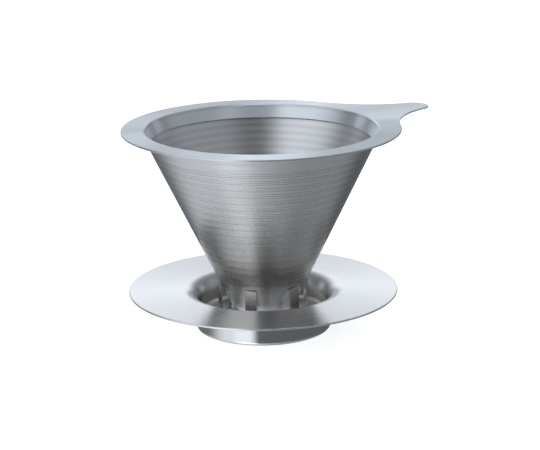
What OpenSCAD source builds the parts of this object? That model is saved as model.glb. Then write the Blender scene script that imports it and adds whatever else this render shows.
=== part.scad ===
// Pour over coffee dripper: a double-walled steel cone filter with a flat thumb handle,
// standing in a saucer-shaped stand that rests on a mug or a server.
// Origin: centre of the foot's underside. +Z up, the handle points along +X.

/* [Rim and handle] */
// Height of the rim's top face above the foot
rim_top_z = 85; // [80:0.5:95]
// Outer radius of the flat rim
rim_r = 57.5; // [56:0.5:62]
// Thickness of the rim's sheet
rim_t = 0.8; // [0.6:0.1:1.0]
// Radius of the bend from the flat rim into its collar
rim_bend_r = 1.2; // [1.0:0.1:1.6]
// Depth of the collar below the rim's top face
collar_depth = 5.3; // [4:0.1:10]
// Reach of the handle's tip from the cone's axis
handle_reach = 83.5; // [80:0.5:95]
// Radius of the handle's rounded tip
handle_tip_r = 6.4; // [4:0.1:9]
// Radius of the hollow curve that joins the handle's tip to the rim
handle_blend_r = 42; // [20:1:60]

/* [Filter cone] */
// Outer radius of the outer cone, measured at the rim's top face
cone_top_r = 49.6; // [48:0.1:51]
// Half of the cone's opening angle
cone_half_angle = 25.8; // [24:0.1:27]
// Thickness of the perforated outer cone
cone_t = 0.35; // [0.3:0.05:0.5]
// Thickness of the inner mesh
mesh_t = 0.25; // [0.2:0.05:0.4]
// Gap between the two cones at their lower ends
mesh_low_gap = 0.7; // [0.3:0.1:1.0]
// Height of the filter's underside above the foot's underside
tip_z = 3.8; // [3:0.1:5]
// Thickness of the cup that closes the tip
tip_cup_t = 0.6; // [0.5:0.1:0.8]
// Height of the tip cup's wall
tip_cup_h = 5; // [4:0.5:8]

/* [Saucer] */
// Outer radius of the saucer
saucer_r = 56; // [50:0.5:60]
// Thickness of the saucer's sheet
saucer_t = 0.8; // [0.6:0.1:1.0]
// Height of the saucer's top face
saucer_top_z = 16.8; // [15:0.1:20]
// Radius at which the flat saucer starts to curve into the well
throat_r = 34; // [32:0.5:38]
// Radius of the well's upright wall, inside
well_r = 26.6; // [24:0.1:28]
// Radius of the corner between the well's wall and its ledge
well_corner_r = 2; // [1:0.5:3]
// Height of the ledge's top face
ledge_top_z = 5.2; // [4.5:0.1:6]
// Radius of the outlet hole in the ledge
outlet_r = 16.2; // [15:0.1:17]

/* [Foot] */
// Outer radius of the foot ring
foot_r = 28.2; // [27.5:0.1:29]
// Height of the foot ring
foot_h = 8.5; // [6:0.5:8.5]
// Outer radius of the foot ring's lower edge
foot_edge_r = 1.6; // [1:0.1:2.5]
// Width of the foot ring's inturned lower lip
foot_lip = 3.6; // [3:0.1:4.5]

/* [Cone support] */
// Distance from the axis to the outer face of each leg
leg_r = 18.8; // [18.5:0.1:19.5]
// Width of a leg
leg_w = 4.8; // [3:0.1:6]
// Number of legs
leg_count = 6; // [4:1:8]
// Angle from the handle to the first leg
leg_turn = -18; // [-30:1:30]
// Outer radius of the ring that carries the legs
support_ring_r = 23.5; // [21:0.1:23.8]
// Gap between the legs' tops and the seated cone
seat_gap = 0.3; // [0.25:0.05:0.5]

/* [Hidden] */
$fn = 180;
ARC_STEPS = 8;            // straight steps in each rounded corner of a profile
SHEET_GAP = 0.05;         // gap between sheets that lie on each other
EDGE_R = 0.38;            // rounding of the saucer's cut edge
lean = 1 / cos(cone_half_angle);      // level width of a sheet over its thickness
slope = tan(cone_half_angle);

rim_under_z = rim_top_z - rim_t;
collar_inset = (cone_t + mesh_t + rim_t + 2 * SHEET_GAP) * lean;
handle_tip_x = handle_reach - handle_tip_r;
handle_t = rim_t;
cup_floor_z = tip_z + tip_cup_t;
cone_low_z = cup_floor_z + 0.1;
mesh_top_z = rim_under_z - 0.5;
mesh_low_z = cone_low_z + 0.2;
disc_t = 0.5;
disc_dish = 0.8;          // how far the tip disc is dished
disc_lip_h = 1.2;
ledge_under_z = ledge_top_z - saucer_t;
leg_t = 0.8;
support_ring_t = 0.8;
leg_low_z = ledge_top_z + support_ring_t;

// Outer radius of the outer cone at height z, and the height at which it has radius r
function cone_r(z) = cone_top_r - slope * (rim_top_z - z);
function cone_z(r) = rim_top_z - (cone_top_r - r) / slope;

// Outer radius of the inner mesh at height z: close to the outer cone at the rim and
// clear of it at the tip
function mesh_r(z) =
    let (down = (rim_under_z - z) / (rim_under_z - mesh_low_z))
    cone_r(z) - (cone_t + SHEET_GAP + (mesh_low_gap - SHEET_GAP) * down) * lean;

// Profile points are [radius, height, corner radius]
function xy(p) = [p[0], p[1]];
function unit(v) = v / norm(v);
function turn(u, v) = u[0] * v[1] - u[1] * v[0];

// The arc that rounds corner b of the path a, b, c
function corner(a, b, c) =
    let (u = unit(xy(a) - xy(b)), v = unit(xy(c) - xy(b)),
         half = acos(max(-1, min(1, u * v))) / 2,
         centre = xy(b) + unit(u + v) * b[2] / sin(half),
         first = xy(b) + u * b[2] / tan(half) - centre,
         sweep = (180 - 2 * half) * sign(turn(-u, v)),
         start = atan2(first[1], first[0]))
    [for (i = [0 : ARC_STEPS])
        centre + b[2] * [cos(start + sweep * i / ARC_STEPS), sin(start + sweep * i / ARC_STEPS)]];

// A path with its inner points rounded by their corner radii
function rounded(path) =
    let (last = len(path) - 1)
    [for (i = [0 : last])
        each (i == 0 || i == last || path[i][2] == 0
              ? [xy(path[i])] : corner(path[i - 1], path[i], path[i + 1]))];

// The path moved by t to its left, with corner radii that keep the sheet even
function left_of(path, t) =
    let (last = len(path) - 1)
    [for (i = [0 : last])
        let (din = unit(xy(path[max(i, 1)]) - xy(path[max(i, 1) - 1])),
             dout = unit(xy(path[min(i, last - 1) + 1]) - xy(path[min(i, last - 1)])),
             nin = [-din[1], din[0]], nout = [-dout[1], dout[0]],
             p = xy(path[i]) + t * (nin + nout) / (1 + nin * nout))
        [p[0], p[1], path[i][2] == 0 ? 0 : path[i][2] - t * sign(turn(din, dout))]];

function reversed(list) = [for (i = [len(list) - 1 : -1 : 0]) list[i]];

// A turned sheet: the path is its right-hand face, the thickness lies to its left
module turned_sheet(path, t) {
    rotate_extrude() polygon(concat(rounded(path), reversed(rounded(left_of(path, t)))));
}

// A turned conical sheet whose outer face runs from radius r1 at z1 to r2 at z2
module turned_cone(r1, z1, r2, z2, t) {
    rotate_extrude() polygon([[r1, z1], [r2, z2], [r2 - t * lean, z2], [r1 - t * lean, z1]]);
}

// Points along an arc about a centre
function arc(centre, r, from, to, steps) =
    [for (i = [0 : steps])
        let (a = from + (to - from) * i / steps) centre + r * [cos(a), sin(a)]];

// Outline of the handle: a round tip joined to the rim by a hollow curve on each side.
// The curve stops just short of the rim and cuts into it at a slant.
module handle_outline() {
    centre_d = rim_r + handle_blend_r;
    centre_x = (centre_d ^ 2 - (handle_tip_r + handle_blend_r) ^ 2 + handle_tip_x ^ 2)
               / (2 * handle_tip_x);
    centre = [centre_x, sqrt(centre_d ^ 2 - centre_x ^ 2)];
    tip_a = atan2(centre[1], centre[0] - handle_tip_x);
    rim_a = atan2(centre[1], centre[0]);
    half = concat(
        arc([handle_tip_x, 0], handle_tip_r, 0, tip_a, 16),
        arc(centre, handle_blend_r, tip_a - 180 - 2, rim_a - 180 + 2, 24),
        [(rim_r - 2) * [cos(rim_a + 3), sin(rim_a + 3)]]);
    difference() {
        polygon(concat([[0, 0]], reversed([for (p = half) [p[0], -p[1]]]),
                       [for (i = [1 : len(half) - 1]) half[i]]));
        circle(rim_r - 4);
    }
}

// Flat rim with its thumb handle, bent down inside into a short conical collar
module rim_flange() {
    mouth_r = cone_top_r - collar_inset;
    color("lightsteelblue") union() {
        turned_sheet([
            [mouth_r - slope * collar_depth, rim_top_z - collar_depth, 0],
            [mouth_r, rim_top_z, rim_bend_r],
            [rim_r, rim_top_z, 0]], -rim_t);
        translate([0, 0, rim_under_z]) linear_extrude(handle_t) handle_outline();
    }
}

// Outer cone, from the rim's underside to the tip
module outer_cone() {
    color("gray") turned_cone(cone_r(cone_low_z), cone_low_z,
                              cone_r(rim_under_z), rim_under_z, cone_t);
}

// Fine inner cone that holds back the grounds
module inner_mesh() {
    color("darkgray") turned_cone(mesh_r(mesh_low_z), mesh_low_z,
                                  mesh_r(mesh_top_z), mesh_top_z, mesh_t);
}

// Cup round the tip of the outer cone
module tip_cup() {
    wall = SHEET_GAP * lean;
    top_z = tip_z + tip_cup_h;
    color("silver") turned_sheet([
        [0, tip_z, 0],
        [cone_r(tip_z) + wall + tip_cup_t * lean, tip_z, 1.2],
        [cone_r(top_z) + wall + tip_cup_t * lean, top_z, 0]], tip_cup_t);
}

// Dished disc that closes the inner mesh, with a lip that follows the cone
module tip_disc() {
    low = mesh_low_z;
    inset = (mesh_t + SHEET_GAP) * lean;
    color("silver") turned_sheet([
        [0, low + disc_dish, 0],
        [5, low + disc_dish, 3],
        [8, low, 1],
        [mesh_r(low) - inset, low, 0.8],
        [mesh_r(low + disc_lip_h) - inset, low + disc_lip_h, 0]], disc_t);
}

// Flat saucer drawn down through a rounded throat into a well with a ledge
module saucer_plate() {
    color("gainsboro") turned_sheet([
        [outlet_r, ledge_top_z, 0],
        [well_r, ledge_top_z, well_corner_r],
        [well_r, saucer_top_z, throat_r - well_r],
        [saucer_r - EDGE_R, saucer_top_z, 0]], -saucer_t);
    color("gainsboro") rotate_extrude() intersection() {
        translate([saucer_r - saucer_t / 2, saucer_top_z - saucer_t / 2]) circle(saucer_t / 2);
        translate([saucer_r - EDGE_R, 0]) square([EDGE_R, saucer_top_z]);
    }
}

// Ring round the well that the dripper stands on, with an inturned lower lip
module foot_ring() {
    wall_r = well_r + saucer_t;
    color("silver") turned_sheet([
        [foot_r - foot_lip, 0, 0],
        [foot_r, 0, foot_edge_r],
        [foot_r, foot_h, 0]], foot_r - wall_r);
}

// Washer on the ledge that carries the legs
module support_ring() {
    color("silver") translate([0, 0, ledge_top_z]) difference() {
        cylinder(r = support_ring_r, h = support_ring_t);
        translate([0, 0, -1]) cylinder(r = outlet_r, h = support_ring_t + 2);
    }
}

// Upright legs whose sloping tops carry the cone
module support_legs() {
    seat = seat_gap * lean;
    inner_r = leg_r - leg_t;
    color("silver") for (i = [0 : leg_count - 1])
        rotate([0, 0, leg_turn + i * 360 / leg_count])
            rotate([90, 0, 0]) linear_extrude(leg_w, center = true) polygon([
                [inner_r, leg_low_z], [leg_r, leg_low_z],
                [leg_r, cone_z(leg_r - seat)], [inner_r, cone_z(inner_r - seat)]]);
}

rim_flange();
outer_cone();
inner_mesh();
tip_cup();
tip_disc();
saucer_plate();
foot_ring();
support_ring();
support_legs();
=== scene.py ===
"""The looks of a steel pour over dripper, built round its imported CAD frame.

Lengths are millimetres in the shape code and metres in Blender. Profiles are lists of
(radius, height, corner radius) along the middle of a sheet, turned round the Z axis.
"""

import math

import bmesh
import bpy
import numpy as np
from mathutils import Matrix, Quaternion, Vector


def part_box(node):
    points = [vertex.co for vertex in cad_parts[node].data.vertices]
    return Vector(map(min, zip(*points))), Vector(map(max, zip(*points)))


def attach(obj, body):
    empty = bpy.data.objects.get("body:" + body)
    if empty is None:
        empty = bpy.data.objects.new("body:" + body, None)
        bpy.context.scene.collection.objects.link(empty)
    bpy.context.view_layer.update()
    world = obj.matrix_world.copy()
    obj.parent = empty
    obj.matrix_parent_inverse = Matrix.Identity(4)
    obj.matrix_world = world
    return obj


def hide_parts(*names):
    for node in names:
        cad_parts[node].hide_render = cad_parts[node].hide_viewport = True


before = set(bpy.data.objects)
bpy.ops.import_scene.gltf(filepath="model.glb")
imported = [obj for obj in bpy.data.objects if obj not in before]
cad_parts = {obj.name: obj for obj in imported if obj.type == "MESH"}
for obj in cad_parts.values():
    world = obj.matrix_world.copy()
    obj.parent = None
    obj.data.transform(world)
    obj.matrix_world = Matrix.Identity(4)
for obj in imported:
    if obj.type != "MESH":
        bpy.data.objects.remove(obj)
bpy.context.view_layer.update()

MM = 0.001


def node_box(node):
    """Lowest and highest corner of a CAD node, in millimetres."""
    low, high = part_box(node)
    return np.array(low) / MM, np.array(high) / MM


# ---------------------------------------------------------------- sizes, from the frame

rim_low, rim_high = node_box("rim_flange")
cone_low, cone_high = node_box("outer_cone")
mesh_low, mesh_high = node_box("inner_mesh")
cup_low, cup_high = node_box("tip_cup")
disc_low, disc_high = node_box("tip_disc")
saucer_low, saucer_high = node_box("saucer_plate")
foot_low, foot_high = node_box("foot_ring")
ring_low, ring_high = node_box("support_ring")
legs_low, _ = node_box("support_legs")

CONE_HALF_ANGLE = math.radians(25.8)
SLOPE = math.tan(CONE_HALF_ANGLE)
LEAN = 1 / math.cos(CONE_HALF_ANGLE)  # level width of a sheet over its thickness

RIM_T = rim_high[2] - cone_high[2]
RIM_R = -rim_low[0]
RIM_MID_Z = rim_high[2] - RIM_T / 2
CONE_T = 0.35
MESH_T = 0.25
CUP_T = 0.6
DISC_T = 0.5
SHEET_T = 0.8  # saucer, foot, support ring and legs
SHEET_GAP = 0.05  # left between two sheets that touch
BAND_HEIGHT = 3.1  # of one band of the outer cone's slot rows, with its plain strip
RIB_PITCH = 2.85  # from one level rib of the inner mesh to the next


def cone_r(z):
    """Outer radius of the outer cone at height z."""
    return cone_high[0] - SLOPE * (cone_high[2] - z)


# ---------------------------------------------------------------- profiles and turning

ON_AXIS = 1e-6  # a smaller radius counts as none
ONE_SURFACE = 0.9  # least cosine between the normals of two faces that blend smoothly


def unit(v):
    v = np.asarray(v, float)
    return v / np.linalg.norm(v)


def left(v):
    return np.array([-v[1], v[0]])


def sample(path, steps=8):
    """Points along a path of (x, y, corner radius), with the unit normal to its left."""
    points, normals = [], []
    for i, (x, y, radius) in enumerate(path):
        here = np.array([x, y], float)
        before = unit(here - path[i - 1][:2]) if i else None
        after = unit(np.array(path[i + 1][:2]) - here) if i + 1 < len(path) else None
        if before is None or after is None or radius == 0:
            points.append(here)
            normals.append(left(before if after is None else after))
            continue
        side = np.sign(before[0] * after[1] - before[1] * after[0])
        bend = math.acos(np.clip(before @ after, -1, 1))
        start = here - before * radius * math.tan(bend / 2)
        centre = start + left(before) * side * radius
        for step in range(steps + 1):
            a = side * bend * step / steps
            turn = np.array([[math.cos(a), -math.sin(a)], [math.sin(a), math.cos(a)]])
            normal = turn @ left(before)
            points.append(centre - normal * side * radius)
            normals.append(normal)
    return np.array(points), np.array(normals)


def sheet_loop(path, thickness, edge=0.6, steps=8, caps=(True, True)):
    """The outline round a sheet: both faces and its rounded cut edges.

    edge is how far a cut edge bulges, over half the thickness. A side without a cap
    ends on the axis, where both faces meet it.
    """
    points, normals = sample(path, steps)
    half = thickness / 2

    def cap(at, normal, along):
        angles = [math.pi * k / 8 for k in range(1, 8)]
        bulge = edge * half
        spots = [at + normal * half * math.cos(a) + along * bulge * math.sin(a) for a in angles]
        facing = [unit(normal * math.cos(a) * bulge + along * math.sin(a) * half) for a in angles]
        return spots, facing

    loop, facing = list(points + normals * half), list(normals)
    if caps[1]:
        inset = left(normals[-1]) * -1
        spots, out = cap(points[-1], normals[-1], inset)
        loop, facing = loop + spots, facing + out
    loop += list((points - normals * half)[::-1])
    facing += list(-normals[::-1])
    if caps[0]:
        spots, out = cap(points[0], -normals[0], left(normals[0]))
        loop, facing = loop + spots, facing + out
    return np.array(loop), np.array(facing)


def mark_sharp_edges(mesh, normals):
    """Mark each edge where the corner normals of its two faces disagree."""
    # a face's corners follow each other; every corner starts one of the face's edges
    corners = len(mesh.loops)
    vert, edge = np.empty(corners, int), np.empty(corners, int)
    mesh.loops.foreach_get("vertex_index", vert)
    mesh.loops.foreach_get("edge_index", edge)
    start, total = np.empty(len(mesh.polygons), int), np.empty(len(mesh.polygons), int)
    mesh.polygons.foreach_get("loop_start", start)
    mesh.polygons.foreach_get("loop_total", total)
    following = np.arange(corners) + 1
    following[start + total - 1] = start
    # both faces of an edge name its ends in the same order: lower vertex number first
    flipped = (vert > vert[following])[:, None]
    low = np.where(flipped, normals[following], normals)
    high = np.where(flipped, normals, normals[following])
    order = np.argsort(edge, kind="stable")
    first, second = order[:-1], order[1:]
    pairs = edge[first] == edge[second]
    first, second = first[pairs], second[pairs]
    agree = np.minimum((low[first] * low[second]).sum(1), (high[first] * high[second]).sum(1))
    sharp = np.zeros(len(mesh.edges), bool)
    sharp[edge[first[agree < ONE_SURFACE]]] = True
    mesh.edges.foreach_set("use_edge_sharp", sharp)


def make_mesh(name, verts, faces, corner_normals, material):
    """A Blender mesh object from millimetre points, with a normal for every face corner."""
    mesh = bpy.data.meshes.new(name)
    mesh.from_pydata([tuple(v) for v in np.asarray(verts) * MM], [], faces)
    mesh.polygons.foreach_set("use_smooth", [True] * len(mesh.polygons))
    corner_normals = np.array(corner_normals)
    mark_sharp_edges(mesh, corner_normals)
    mesh.normals_split_custom_set(corner_normals.tolist())
    mesh.materials.append(material)
    mesh.update()
    piece = bpy.data.objects.new(name, mesh)
    bpy.context.scene.collection.objects.link(piece)
    return piece


def quads(rings):
    """Faces from each ring of vertex numbers to the next, and from the last to the first.

    A pole is a ring of one vertex number repeated: faces there are triangles.
    """
    faces = []
    for a, b in zip(rings, rings[1:] + rings[:1]):
        if a[0] == a[1] and b[0] == b[1]:
            continue
        for k in range(len(a)):
            m = (k + 1) % len(a)
            faces.append(list(dict.fromkeys((a[k], b[k], b[m], a[m]))))
    return faces


def turned(name, loop, facing, material, segments=288):
    """The closed outline turned round Z. Points on the axis become one pole each."""
    angles = np.linspace(0, 2 * math.pi, segments, endpoint=False)
    verts, normals, rings = [], [], []
    for (r, z), (nr, nz) in zip(loop, facing):
        if r < ON_AXIS:
            rings.append([len(verts)] * segments)
            verts.append((0, 0, z))
            normals.append((0, 0, math.copysign(1, nz)))
            continue
        rings.append(list(range(len(verts), len(verts) + segments)))
        for a in angles:
            verts.append((r * math.cos(a), r * math.sin(a), z))
            normals.append((nr * math.cos(a), nr * math.sin(a), nz))
    faces = quads(rings)
    corners = [normals[v] for face in faces for v in face]
    return make_mesh(name, verts, faces, corners, material)


# ---------------------------------------------------------------- materials


class Nodes:
    """Short calls that add shader nodes to one tree."""

    def __init__(self, tree):
        self.tree = tree
        tree.nodes.clear()

    def add(self, kind, **settings):
        made = self.tree.nodes.new(kind)
        for key, value in settings.items():
            setattr(made, key, value)
        return made

    def plug(self, socket, value):
        if isinstance(value, bpy.types.NodeSocket):
            self.tree.links.new(value, socket)
        else:
            socket.default_value = value

    def math(self, operation, a, b=0.0, c=0.0):
        made = self.add("ShaderNodeMath", operation=operation)
        for socket, value in zip(made.inputs, (a, b, c)):
            self.plug(socket, value)
        return made.outputs[0]

    def combine(self, x, y, z):
        made = self.add("ShaderNodeCombineXYZ")
        for socket, value in zip(made.inputs, (x, y, z)):
            self.plug(socket, value)
        return made.outputs[0]

    def soft_step(self, value, start, end, first, last):
        """Changes softly from first to last as the value goes from start to end."""
        made = self.add("ShaderNodeMapRange", interpolation_type="SMOOTHSTEP")
        for socket, v in zip(made.inputs, (value, start, end, first, last)):
            self.plug(socket, v)
        return made.outputs[0]

    def window(self, value, start, full, fading, end):
        """One between full and fading, and nothing before start and after end."""
        return self.math("MULTIPLY", self.soft_step(value, start, full, 0.0, 1.0),
                         self.soft_step(value, fading, end, 1.0, 0.0))

    def noise(self, vector, scale, detail, rough):
        made = self.add("ShaderNodeTexNoise")
        self.plug(made.inputs["Vector"], vector)
        self.plug(made.inputs["Scale"], scale)
        self.plug(made.inputs["Detail"], detail)
        self.plug(made.inputs["Roughness"], rough)
        return made.outputs["Fac"]

    def about_zero(self, value, amount):
        """A value from zero to one, moved to run round zero and scaled."""
        return self.math("MULTIPLY", self.math("SUBTRACT", value, 0.5), amount)

    def level_waves(self, z, pitch):
        """A sine wave over the height z, which repeats every pitch millimetres."""
        return self.math("SINE", self.math("MULTIPLY", z, 2 * math.pi / (pitch * MM)))


GRAIN = 900.0  # brush lines' density over one metre
STREAK = 2.5  # how soon a brush line fades along its circle
UPRIGHT_SHARE = 0.83  # the lines' density up a wall, over that across a level face
SMALLEST_R = 0.5 * MM  # keeps the lines' direction defined on the axis
MOTTLE_SCALE = 38.0
WIRES_ROUND = 420.0  # waves of the weave round the axis
WIRE_PITCH = 0.45  # height from one level wire of the weave to the next
BUMP_UNIT = 0.01 * MM


def steel(name, colour, roughness, brush=0.05, bump=0.02, anisotropic=0.5, weave=0.0,
          rows=0.0, ripple=0.0, painted_light_band=None):
    """Stainless steel, brushed or turned in circles round the Z axis.

    brush is how much the roughness and colour vary from one brush line to the next, and
    bump the depth of the lines in hundredths of a millimetre. weave adds the fine crossing
    wires of a mesh, rows its level bands of tone and ripple a level waviness. The last
    argument paints light or shade into the colour: it is (tone, start, full, fading, end),
    and the steel's brightness is multiplied by tone between the heights full and fading,
    and is its own below start and above end.
    """
    material = bpy.data.materials.new(name)
    material.use_nodes = True
    n = Nodes(material.node_tree)
    place = n.add("ShaderNodeTexCoord").outputs["Object"]
    split = n.add("ShaderNodeSeparateXYZ")
    n.plug(split.inputs[0], place)
    x, y, z = split.outputs
    radius = n.math("SQRT", n.math("ADD", n.math("MULTIPLY", x, x), n.math("MULTIPLY", y, y)))
    safe_radius = n.math("MAXIMUM", radius, SMALLEST_R)
    across = n.math("ADD", radius, n.math("MULTIPLY", z, UPRIGHT_SHARE))
    lines = n.combine(
        n.math("MULTIPLY", n.math("DIVIDE", x, safe_radius), STREAK),
        n.math("MULTIPLY", n.math("DIVIDE", y, safe_radius), STREAK),
        n.math("MULTIPLY", across, GRAIN),
    )
    fine = n.noise(lines, 1.0, detail=4.0, rough=0.6)
    broad = n.noise(place, MOTTLE_SCALE, detail=3.0, rough=0.55)

    height = n.math("MULTIPLY", fine, bump)
    if weave:
        round_wires = n.math("SINE", n.math("MULTIPLY", n.math("ARCTAN2", y, x), WIRES_ROUND))
        wires = n.math("MULTIPLY", round_wires, n.level_waves(z, WIRE_PITCH))
        height = n.math("MULTIPLY_ADD", wires, weave, height)
    if ripple:
        height = n.math("MULTIPLY_ADD", n.level_waves(z, BAND_HEIGHT), ripple, height)
    relief = n.add("ShaderNodeBump")
    relief.inputs["Strength"].default_value = 1.0
    relief.inputs["Distance"].default_value = BUMP_UNIT
    n.plug(relief.inputs["Height"], height)

    tone = n.math("ADD", n.about_zero(fine, brush * 1.6), n.about_zero(broad, 0.05))
    if rows:
        tone = n.math("MULTIPLY_ADD", n.level_waves(z, RIB_PITCH), rows, tone)
    bright = n.math("ADD", tone, 1.0)
    # painted light or shade: between the given heights the steel is made brighter or darker by
    # the tone
    if painted_light_band:
        painted_band_mask = n.window(z, *(height_mm * MM for height_mm in painted_light_band[1:]))
        bright = n.math("MULTIPLY", bright, n.math("MULTIPLY_ADD", painted_band_mask, painted_light_band[0] - 1.0, 1.0))
    tint = n.add("ShaderNodeVectorMath", operation="SCALE")
    tint.inputs[0].default_value = colour
    n.plug(tint.inputs["Scale"], bright)
    dull = n.math("ADD", n.about_zero(fine, brush * 2.0), n.about_zero(broad, 0.10))

    shader = n.add("ShaderNodeBsdfPrincipled")
    shader.inputs["Metallic"].default_value = 1.0
    shader.inputs["Anisotropic"].default_value = anisotropic
    shader.inputs["Anisotropic Rotation"].default_value = 0.25
    round_z = n.add("ShaderNodeTangent", direction_type="RADIAL", axis="Z")
    n.plug(shader.inputs["Tangent"], round_z.outputs[0])
    n.plug(shader.inputs["Base Color"], tint.outputs[0])
    n.plug(shader.inputs["Roughness"], n.math("ADD", dull, roughness))
    n.plug(shader.inputs["Normal"], relief.outputs[0])
    out = n.add("ShaderNodeOutputMaterial")
    n.plug(out.inputs["Surface"], shader.outputs[0])
    return material


# painted highlight: the collar between 75 and 83.4 mm is made 1.15 times brighter
rim_steel = steel("rim_steel", (0.75, 0.765, 0.775), 0.38, anisotropic=1.0,
                  painted_light_band=(1.15, 70.0, 75.0, 83.4, 84.2))
# painted reflection: the cone below 20 mm, between the legs, is made 1.55 times brighter, fading
# out by 30 mm
cone_steel = steel("cone_steel", (0.68, 0.66, 0.64), 0.26, brush=0.06, bump=0.012,
                   anisotropic=0.6, ripple=1.4, painted_light_band=(1.55, -10.0, -5.0, 20.0, 30.0))
mesh_steel = steel("mesh_steel", (0.57, 0.56, 0.55), 0.32, weave=1.1, rows=0.07)
cap_steel = steel("cap_steel", (0.74, 0.73, 0.72), 0.34)
# painted shade: the well between 7.5 and 12.5 mm is made 0.65 times as bright, fading out by 5.8
# and 16.6 mm
saucer_steel = steel("saucer_steel", (0.79, 0.765, 0.745), 0.28, brush=0.02, bump=0.004,
                     anisotropic=0.85, painted_light_band=(0.65, 5.8, 7.5, 12.5, 16.6))
foot_steel = steel("foot_steel", (0.80, 0.78, 0.76), 0.16, brush=0.02, bump=0.006)
# painted shade: darker than the other steel, for the legs and washer in the shade under the cone
support_steel = steel("support_steel", (0.56, 0.535, 0.52), 0.28)


# ---------------------------------------------------------------- rim and handle

HANDLE_REACH = rim_high[0]
HANDLE_TIP_R = 6.4
HANDLE_BLEND_R = 42.0  # of the hollow side between the rim and the handle's tip
RIM_BEND_R = 0.8  # at the middle of the sheet
RIM_EDGE_BULGE = 0.75  # of the rounded outer edge, over half the thickness
RIM_EDGE_STEPS = 10
COLLAR_TO_FLAT = 3.0  # from the bend to where the collar's outline joins the flat
MOUTH_R = cone_r(rim_high[2]) - 1.5 * LEAN  # inner face of the collar, run up to the rim's top


def arc(centre, radius, start, end, step):
    """Points along an arc with their outward directions, about step apart, end left out."""
    count = max(2, round(abs(end - start) * radius / step))
    angles = np.linspace(start, end, count, endpoint=False)
    spots = np.column_stack([np.cos(angles), np.sin(angles)])
    return np.array(centre) + radius * spots, spots


def rim_outline():
    """The rim's outer edge with the handle, anticlockwise, with outward normals."""
    tip = np.array([HANDLE_REACH - HANDLE_TIP_R, 0])
    # centre of the hollow side's circle, which touches the rim's circle and the tip's
    centre_d, tip_d = RIM_R + HANDLE_BLEND_R, HANDLE_TIP_R + HANDLE_BLEND_R
    centre_x = (centre_d**2 - tip_d**2 + tip[0] ** 2) / (2 * tip[0])
    centre = np.array([centre_x, math.sqrt(centre_d**2 - centre_x**2)])
    rim_a = math.atan2(centre[1], centre[0])
    tip_a = math.atan2(centre[1], centre[0] - tip[0])
    tip_arc, tip_out = arc(tip, HANDLE_TIP_R, 0, tip_a, 0.3)
    hollow_arc, hollow_out = arc(centre, HANDLE_BLEND_R, tip_a - math.pi, rim_a - math.pi, 0.7)
    rim_arc, rim_out = arc((0, 0), RIM_R, rim_a, math.pi, 1.2)
    points = np.vstack([tip_arc, hollow_arc, rim_arc])
    normals = np.vstack([tip_out, -hollow_out, rim_out])
    mirror = np.array([1, -1])
    points = np.vstack([points, [[-RIM_R, 0]], points[:0:-1] * mirror])
    normals = np.vstack([normals, [[-1, 0]], normals[:0:-1] * mirror])
    return points, normals


def make_rim():
    """Flat rim and handle with rounded edges, bent down into the collar."""
    outline, outward = rim_outline()
    count = len(outline)
    around = outline / np.linalg.norm(outline, axis=1)[:, None]
    half = RIM_T / 2
    edge = RIM_EDGE_BULGE * half
    foot_z = rim_low[2] + half * math.sin(CONE_HALF_ANGLE)
    mid_r = MOUTH_R + half * (1 - math.sin(CONE_HALF_ANGLE)) * LEAN
    mid_foot_r = mid_r - SLOPE * (RIM_MID_Z - foot_z)
    flat_r = mid_r + COLLAR_TO_FLAT
    loop, facing = sheet_loop(
        [(flat_r, RIM_MID_Z, 0), (mid_r, RIM_MID_Z, RIM_BEND_R), (mid_foot_r, foot_z, 0)],
        RIM_T, caps=(False, True))
    verts, normals = [], []
    for (r, z), (nr, nz) in zip(loop, facing):
        verts.append(np.column_stack([around * r, np.full(count, z)]))
        normals.append(np.column_stack([around * nr, np.full(count, nz)]))
    # the outline runs from the flat's underside round the collar to its top; the rim's
    # outer edge closes it
    inset = outline - outward * edge
    for a in np.linspace(math.pi / 2, -math.pi / 2, RIM_EDGE_STEPS + 1):
        z = RIM_MID_Z + half * math.sin(a)
        verts.append(np.column_stack([inset + outward * edge * math.cos(a),
                                      np.full(count, z)]))
        normals.append(np.column_stack([outward * math.cos(a), np.full(count, math.sin(a))]))
    rings = [list(range(i * count, (i + 1) * count)) for i in range(len(verts))]
    normals = np.vstack(normals)
    faces = quads(rings)
    corners = [normals[v] for face in faces for v in face]
    return make_mesh("rim_and_handle", np.vstack(verts), faces, corners, rim_steel)


rim = make_rim()
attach(rim, "filter")
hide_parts("rim_flange")


# ---------------------------------------------------------------- outer cone

SLOT_PITCH = 2.6
SLOT_LENGTH = 2.25
SLOT_HEIGHT = 0.10
SLOT_CORNER = 0.04
ROWS_PER_BAND = 3
ROW_PITCH = 0.85
SLOTS_LOW_Z = 21.5
SLOTS_HIGH_Z = 77.5
PLAIN_SEGMENTS = 240  # round the cone above and below the slots


def slot_rows():
    """Height of the middle of each row of slots, with the number of slots in it."""
    rows = []
    base = SLOTS_LOW_Z
    while base + BAND_HEIGHT <= SLOTS_HIGH_Z:
        for i in range(ROWS_PER_BAND):
            z = base + ROW_PITCH * (i + 0.5)
            rows.append((z, round(2 * math.pi * cone_r(z) / SLOT_PITCH)))
        base += BAND_HEIGHT
    return rows


def stitch(a, b, angle_a, angle_b):
    """Triangles and quads between two rings, given as vertex numbers and rising angles."""
    faces = []
    i = j = 0
    total_a, total_b = len(a), len(b)
    while i < total_a or j < total_b:
        next_a = angle_a[i + 1] if i + 1 < total_a else angle_a[0] + 2 * math.pi
        next_b = angle_b[j + 1] if j + 1 < total_b else angle_b[0] + 2 * math.pi
        va, vb = a[i % total_a], b[j % total_b]
        if i < total_a and j < total_b and abs(next_a - next_b) < 1e-9:
            faces.append((va, a[(i + 1) % total_a], b[(j + 1) % total_b], vb))
            i, j = i + 1, j + 1
        elif j >= total_b or (i < total_a and next_a <= next_b):
            faces.append((va, a[(i + 1) % total_a], vb))
            i += 1
        else:
            faces.append((va, b[(j + 1) % total_b], vb))
            j += 1
    return faces


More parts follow.
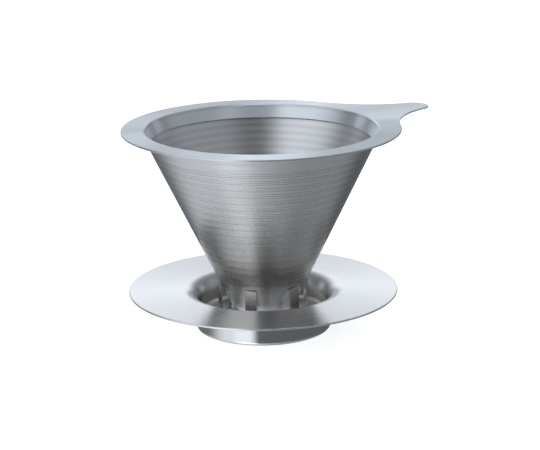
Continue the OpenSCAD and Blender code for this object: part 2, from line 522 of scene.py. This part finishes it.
class ConeSheet:
    """The outer cone's sheet, built upwards ring by ring.

    A ring is (outer, inner, angles): the vertex numbers on the sheet's two faces, and the
    angles that both share.
    """

    def __init__(self):
        self.verts, self.normals, self.faces, self.corners = [], [], [], []

    def ring(self, z, angles):
        made = []
        for depth, sign in ((0.0, 1), (CONE_T * LEAN, -1)):
            r = cone_r(z) - depth
            level, up = sign * math.cos(CONE_HALF_ANGLE), -sign * math.sin(CONE_HALF_ANGLE)
            made.append(list(range(len(self.verts), len(self.verts) + len(angles))))
            for a in angles:
                self.verts.append((r * math.cos(a), r * math.sin(a), z))
                self.normals.append((level * math.cos(a), level * math.sin(a), up))
        return (*made, angles)

    def add(self, face, corner_normals=None):
        self.faces.append(face)
        self.corners.extend(corner_normals or [self.normals[v] for v in face])

    def join(self, low, high):
        """Both faces of the sheet between two rings."""
        for face in stitch(low[0], high[0], low[2], high[2]):
            self.add(face)
        for face in stitch(low[1], high[1], low[2], high[2]):
            self.add(face[::-1])

    def rise(self, last, z, angles):
        """A ring at height z, joined to the last one."""
        made = self.ring(z, angles)
        self.join(last, made)
        return made

    def wall(self, a, b, c, d):
        """A quad of a slot's wall, flat shaded."""
        p, q, r = (np.array(self.verts[v]) for v in (a, b, c))
        flat = tuple(unit(np.cross(q - p, r - p)))
        self.add((a, b, c, d), [flat] * 4)

    def rim(self, ring, facing):
        """The cut edge at the cone's top (facing 1) or bottom (facing -1)."""
        outer, inner, angles = ring
        for k in range(len(angles)):
            m = (k + 1) % len(angles)
            face = (outer[m], outer[k], inner[k], inner[m])[::-facing]
            self.add(face, [(0, 0, facing)] * 4)


def add_slot_row(sheet, last, mid, count, shift):
    """One row of slots round the sheet at height mid. Gives back its top ring."""
    half_h = SLOT_HEIGHT / 2
    levels = ((-half_h, SLOT_CORNER), (-half_h + SLOT_CORNER, 0),
              (half_h - SLOT_CORNER, 0), (half_h, SLOT_CORNER))
    rings = []
    for dz, cut in levels:
        half_w = (SLOT_LENGTH / 2 - cut) / cone_r(mid)
        angles = []
        for k in range(count):
            middle = shift + k * 2 * math.pi / count
            angles += [middle - half_w, middle + half_w]
        rings.append(sheet.ring(mid + dz, angles))
    sheet.join(last, rings[0])
    for low, high in zip(rings, rings[1:]):
        for k in range(count):
            start, end, following = 2 * k, 2 * k + 1, (2 * k + 2) % (2 * count)
            sheet.add((low[0][end], low[0][following], high[0][following], high[0][end]))
            sheet.add((high[1][end], high[1][following], low[1][following], low[1][end]))
            sheet.wall(low[0][start], high[0][start], high[1][start], low[1][start])
            sheet.wall(high[0][end], low[0][end], low[1][end], high[1][end])
    low, high = rings[0], rings[-1]
    for start in range(0, 2 * count, 2):
        end = start + 1
        sheet.wall(low[0][end], low[0][start], low[1][start], low[1][end])
        sheet.wall(high[0][start], high[0][end], high[1][end], high[1][start])
    return high


def make_outer_cone():
    """The outer cone's sheet with every slot cut through it."""
    sheet = ConeSheet()
    plain = list(np.linspace(0, 2 * math.pi, PLAIN_SEGMENTS, endpoint=False))
    bottom = last = sheet.ring(cone_low[2], plain)
    for z in np.linspace(cone_low[2], SLOTS_LOW_Z, 8)[1:]:
        last = sheet.rise(last, z, plain)
    for row, (mid, count) in enumerate(slot_rows()):
        stagger = 2 * math.pi / count * (0.25 + 0.5 * (row % 2))
        last = add_slot_row(sheet, last, mid, count, stagger)
    for z in np.linspace(SLOTS_HIGH_Z, cone_high[2], 4):
        last = sheet.rise(last, z, plain)
    sheet.rim(bottom, -1)
    sheet.rim(last, 1)
    return make_mesh("perforated_cone", sheet.verts, sheet.faces, sheet.corners, cone_steel)


cone = make_outer_cone()
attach(cone, "filter")
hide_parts("outer_cone")


# ---------------------------------------------------------------- inner mesh and tip

RIB_DEPTH = 0.03
RIB_STEPS = 8  # rings of points from one rib to the next
MESH_LOW_GAP = 0.7  # between the two cones at the mesh's tip


def mesh_r(z):
    """Outer radius of the inner mesh: near the outer cone at the rim, clear of it below."""
    down = (cone_high[2] - z) / (cone_high[2] - mesh_low[2])
    return cone_r(z) - (CONE_T + SHEET_GAP + (MESH_LOW_GAP - SHEET_GAP) * down) * LEAN


def make_inner_mesh():
    """The fine mesh cone, with the level ribs that its forming leaves."""
    count = int((mesh_high[2] - mesh_low[2]) / RIB_PITCH * RIB_STEPS)
    path = []
    for i in range(count + 1):
        z = mesh_low[2] + (mesh_high[2] - mesh_low[2]) * i / count
        rib = RIB_DEPTH * (1 - math.cos(2 * math.pi * i / RIB_STEPS)) / 2
        path.append((mesh_r(z) - MESH_T * LEAN / 2 - rib, z, 0))
    loop, facing = sheet_loop(path, MESH_T)
    return turned("fine_mesh_cone", loop, facing, mesh_steel, segments=192)


fine_mesh = make_inner_mesh()
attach(fine_mesh, "filter")
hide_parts("inner_mesh")


CUP_CORNER_R = 0.9


def make_tip_cup():
    """Cup round the cone's tip: its floor, rounded corner and wall."""
    wall = (SHEET_GAP + CUP_T / 2) * LEAN
    low, high = cup_low[2] + CUP_T / 2, cup_high[2] - CUP_T / 4
    path = [(0, low, 0), (cone_r(low) + wall, low, CUP_CORNER_R),
            (cone_r(high) + wall, high, 0)]
    loop, facing = sheet_loop(path, CUP_T, caps=(False, True))
    return turned("tip_cup_shell", loop, facing, cap_steel, segments=144)


cup = make_tip_cup()
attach(cup, "filter")
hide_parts("tip_cup")


DISC_RISE = 0.8  # of the disc's middle over its trough
DISC_MIDDLE_R = 5.0
DISC_TROUGH_R = 8.0
EDGE_ROOM = 0.1  # for the bulge of a sheet's cut edge


def make_tip_disc():
    """Dished disc that closes the inner mesh."""
    low = disc_low[2] + DISC_T / 2
    inset = (MESH_T + SHEET_GAP + DISC_T / 2) * LEAN
    lip_z = disc_high[2] - EDGE_ROOM
    path = [(0, low + DISC_RISE, 0), (DISC_MIDDLE_R, low + DISC_RISE, 3),
            (DISC_TROUGH_R, low, 1), (mesh_r(low) - inset, low, 0.5),
            (mesh_r(lip_z) - inset, lip_z, 0)]
    loop, facing = sheet_loop(path, DISC_T, caps=(False, True))
    return turned("tip_disc_plate", loop, facing, cap_steel, segments=144)


disc = make_tip_disc()
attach(disc, "filter")
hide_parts("tip_disc")


# ---------------------------------------------------------------- stand

THROAT_R = 34.0
WELL_MID_R = foot_high[0] - 1.5 * SHEET_T  # middle of the well's upright wall
WELL_CORNER_R = 2.4
OUTLET_R = 16.2
SAUCER_EDGE = 0.75  # bulge of the saucer's cut edges, over half the thickness


def make_saucer():
    """Flat saucer, rounded throat, well wall and ledge, as one drawn sheet."""
    top = saucer_high[2] - SHEET_T / 2
    ledge = saucer_low[2] + SHEET_T / 2
    bulge = SAUCER_EDGE * SHEET_T / 2
    path = [(OUTLET_R + bulge, ledge, 0), (WELL_MID_R, ledge, WELL_CORNER_R),
            (WELL_MID_R, top, THROAT_R - WELL_MID_R), (saucer_high[0] - bulge, top, 0)]
    loop, facing = sheet_loop(path, SHEET_T, edge=SAUCER_EDGE, steps=20)
    return turned("saucer_and_well", loop, facing, saucer_steel)


saucer = make_saucer()
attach(saucer, "stand")
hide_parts("saucer_plate")


FOOT_LIP = 3.4  # width of the lip, less the bulge of its cut edge
FOOT_EDGE_R = 1.2  # at the middle of the sheet
FOOT_TOP_ROOM = 0.2  # for the bulge of its upper edge


def make_foot():
    """Foot ring with its inturned lower lip."""
    mid_r = foot_high[0] - SHEET_T / 2
    low = foot_low[2] + SHEET_T / 2
    path = [(foot_high[0] - FOOT_LIP, low, 0), (mid_r, low, FOOT_EDGE_R),
            (mid_r, foot_high[2] - FOOT_TOP_ROOM, 0)]
    loop, facing = sheet_loop(path, SHEET_T)
    return turned("foot_band", loop, facing, foot_steel)


foot = make_foot()
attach(foot, "stand")
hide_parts("foot_ring")


WASHER_EDGE_ROOM = 0.25


def make_support_ring():
    """Washer on the ledge that carries the legs."""
    mid = (ring_low[2] + ring_high[2]) / 2
    path = [(OUTLET_R + WASHER_EDGE_ROOM, mid, 0), (ring_high[0] - WASHER_EDGE_ROOM, mid, 0)]
    loop, facing = sheet_loop(path, SHEET_T)
    return turned("support_washer", loop, facing, support_steel, segments=192)


support_ring = make_support_ring()
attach(support_ring, "stand")
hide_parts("support_ring")


LEG_COUNT = 6
LEG_TURN = math.radians(-18)
LEG_R = 18.8
LEG_W = 4.8
LEG_EDGE = 0.18
SEAT_GAP = 0.3  # between the legs' tops and the cone


def make_legs():
    """Six upright legs with rounded edges, their tops cut to the cone's slope."""

    def top_z(r):
        return cone_high[2] - (cone_high[0] - r + SEAT_GAP * LEAN) / SLOPE

    mesh = bpy.data.meshes.new("support_legs_set")
    made = bmesh.new()
    inner = LEG_R - SHEET_T
    corners = [(inner, legs_low[2]), (LEG_R, legs_low[2]), (LEG_R, top_z(LEG_R)),
               (inner, top_z(inner))]
    for i in range(LEG_COUNT):
        a = LEG_TURN + 2 * math.pi * i / LEG_COUNT
        axis, side = Vector((math.cos(a), math.sin(a), 0)), Vector((-math.sin(a), math.cos(a), 0))
        ends = []
        for s in (-LEG_W / 2, LEG_W / 2):
            ends.append([made.verts.new((axis * r + side * s + Vector((0, 0, z))) * MM)
                         for r, z in corners])
        made.faces.new(ends[0])
        made.faces.new(ends[1][::-1])
        for k in range(4):
            m = (k + 1) % 4
            made.faces.new((ends[0][m], ends[0][k], ends[1][k], ends[1][m]))
    bmesh.ops.recalc_face_normals(made, faces=made.faces)
    bmesh.ops.bevel(made, geom=made.edges[:], offset=LEG_EDGE * MM, segments=3, profile=0.5,
                    affect="EDGES")
    made.to_mesh(mesh)
    made.free()
    mesh.polygons.foreach_set("use_smooth", [True] * len(mesh.polygons))
    mesh.materials.append(support_steel)
    piece = bpy.data.objects.new("support_legs_set", mesh)
    bpy.context.scene.collection.objects.link(piece)
    weighted = piece.modifiers.new("even_faces", "WEIGHTED_NORMAL")
    weighted.keep_sharp = True
    return piece


legs = make_legs()
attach(legs, "stand")
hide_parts("support_legs")


# ---------------------------------------------------------------- studio and camera

VIEW_TURN = math.radians(32)  # from the handle's direction to the camera's right-hand side
VIEW_ELEVATION = math.radians(15.31)
VIEW_DISTANCE = 0.7953
VIEW_ROLL = math.radians(-0.7)
LENS = 127.8
LOOK_AT = (0.00311, 0.04361)  # to the camera's right of the axis, and height
FLOOR_R = 3.0
FLOOR_Z = -0.2 * MM
FLOOR_GLOW = 0.75

RIGHT = Vector((math.cos(VIEW_TURN), -math.sin(VIEW_TURN), 0))
AWAY = Vector((math.sin(VIEW_TURN), math.cos(VIEW_TURN), 0))
UP = Vector((0, 0, 1))


def make_camera():
    """A long lens a little above the rim, turned so that the handle is at the rear right."""
    data = bpy.data.cameras.new("camera")
    data.lens = LENS
    data.sensor_width = 36.0
    camera = bpy.data.objects.new("camera", data)
    bpy.context.scene.collection.objects.link(camera)
    target = RIGHT * LOOK_AT[0] + UP * LOOK_AT[1]
    back = UP * math.sin(VIEW_ELEVATION) - AWAY * math.cos(VIEW_ELEVATION)
    camera.location = target + back * VIEW_DISTANCE
    level = (-back).to_track_quat("-Z", "Y")
    camera.rotation_euler = (level @ Quaternion((0, 0, 1), VIEW_ROLL)).to_euler()
    bpy.context.scene.camera = camera


def make_floor():
    """A plain pale floor that glows a little, so that it stays white under the object."""
    bpy.ops.mesh.primitive_circle_add(vertices=96, radius=FLOOR_R, fill_type="NGON")
    floor = bpy.context.object
    floor.name = "floor"
    floor.location.z = FLOOR_Z
    material = bpy.data.materials.new("floor_white")
    material.use_nodes = True
    n = Nodes(material.node_tree)
    shader = n.add("ShaderNodeBsdfPrincipled")
    shader.inputs["Base Color"].default_value = (0.9, 0.9, 0.9, 1)
    shader.inputs["Roughness"].default_value = 0.9
    shader.inputs["Emission Color"].default_value = (1, 1, 1, 1)
    shader.inputs["Emission Strength"].default_value = FLOOR_GLOW
    out = n.add("ShaderNodeOutputMaterial")
    n.plug(out.inputs["Surface"], shader.outputs[0])
    floor.data.materials.append(material)
    floor.visible_glossy = False


# Softboxes and cards round the object. Azimuth runs from the camera's side, positive to
# its right, and elevation up, each as (from, to) in degrees. fade is how wide the four
# edges blur, in the order of those numbers, and light is what the panel adds.
BASE_LIGHT = 0.13
LIGHT_COLOUR = (0.90, 0.975, 1.06)
PANELS = {
    "left softbox": {"azimuth": (-90, -17), "elevation": (-32, 72), "fade": (50, 15, 20, 20),
                     "light": 0.80},
    "left key": {"azimuth": (-70, -19), "elevation": (14, 46), "fade": (24, 14, 10, 14),
                 "light": 0.35},
    "left high": {"azimuth": (-94, -72), "elevation": (8, 60), "fade": (14, 20, 12, 20),
                  "light": 0.30},
    "left rear card": {"azimuth": (-131, -116), "elevation": (0, 24), "fade": (5, 5, 8, 10),
                       "light": 0.60},
    "right rear card": {"azimuth": (126, 140), "elevation": (-4, 20), "fade": (5, 5, 8, 10),
                        "light": 0.50},
    "left low": {"azimuth": (-52, -12), "elevation": (-54, -22), "fade": (15, 8, 10, 10),
                 "light": 1.0},
    "back wall": {"azimuth": (163, 206), "elevation": (11, 48), "fade": (16, 20, 5, 24),
                  "light": 1.0},
    "back top": {"azimuth": (158, 202), "elevation": (50, 80), "fade": (20, 20, 20, 10),
                 "light": 0.55},
    "back sides": {"azimuth": (95, 265), "elevation": (6, 60), "fade": (40, 40, 10, 30),
                   "light": 0.08},
    "top softbox": {"azimuth": (-180, 180), "elevation": (74, 90), "fade": (1, 1, 10, 1),
                    "light": 1.8},
    "ceiling": {"azimuth": (-60, 60), "elevation": (56, 74), "fade": (30, 30, 12, 8),
                "light": 0.30},
    "right fill": {"azimuth": (30, 118), "elevation": (5, 60), "fade": (25, 30, 20, 20),
                   "light": 0.32},
    "floor": {"azimuth": (-180, 180), "elevation": (-90, -36), "fade": (1, 1, 1, 16),
              "light": 0.22},
    "floor left": {"azimuth": (-150, 0), "elevation": (-90, -32), "fade": (150, 150, 1, 20),
                   "light": 0.50},
    "back left": {"azimuth": (-200, -105), "elevation": (-42, -10), "fade": (20, 20, 20, 10),
                  "light": 0.06},
}


def make_world():
    """The panels as one glow round the object, and plain white behind it."""
    world = bpy.data.worlds.new("studio")
    bpy.context.scene.world = world
    world.use_nodes = True
    n = Nodes(world.node_tree)
    place = n.add("ShaderNodeTexCoord").outputs["Generated"]

    def along(direction):
        dot = n.add("ShaderNodeVectorMath", operation="DOT_PRODUCT")
        n.plug(dot.inputs[0], place)
        dot.inputs[1].default_value = direction
        return dot.outputs["Value"]

    azimuth = n.math("ARCTAN2", along(RIGHT), along(-AWAY))
    elevation = n.math("ARCSINE", along(UP))

    def faded(value, low, high, fade_low, fade_high):
        """One between low and high, with each edge blurred over its fade."""
        return n.window(value, low - fade_low / 2, low + fade_low / 2,
                        high - fade_high / 2, high + fade_high / 2)

    total = BASE_LIGHT
    for panel in PANELS.values():
        a0, a1, e0, e1 = (math.radians(v) for v in panel["azimuth"] + panel["elevation"])
        fade = [math.radians(v) for v in panel["fade"]]
        middle, half = (a0 + a1) / 2, (a1 - a0) / 2
        # measured from the panel's middle, so that a panel may cross the seam behind
        off = n.math("WRAP", n.math("SUBTRACT", azimuth, middle), math.pi, -math.pi)
        all_round = math.isclose(half, math.pi)
        wide = 1.0 if all_round else faded(off, -half, half, fade[0], fade[1])
        tall = faded(elevation, e0, e1, fade[2], fade[3])
        total = n.math("MULTIPLY_ADD", n.math("MULTIPLY", wide, tall), panel["light"], total)
    background = n.add("ShaderNodeBackground")
    background.inputs["Color"].default_value = (*LIGHT_COLOUR, 1)
    n.plug(background.inputs["Strength"], total)
    backdrop = n.add("ShaderNodeBackground")
    backdrop.inputs["Strength"].default_value = 1.0
    backdrop.inputs["Color"].default_value = (1, 1, 1, 1)
    seen = n.add("ShaderNodeMixShader")
    n.plug(seen.inputs[0], n.add("ShaderNodeLightPath").outputs["Is Camera Ray"])
    n.plug(seen.inputs[1], background.outputs[0])
    n.plug(seen.inputs[2], backdrop.outputs[0])
    out = n.add("ShaderNodeOutputWorld")
    n.plug(out.inputs["Surface"], seen.outputs[0])


make_camera()
make_floor()
make_world()
bpy.context.scene.view_settings.view_transform = "Standard"
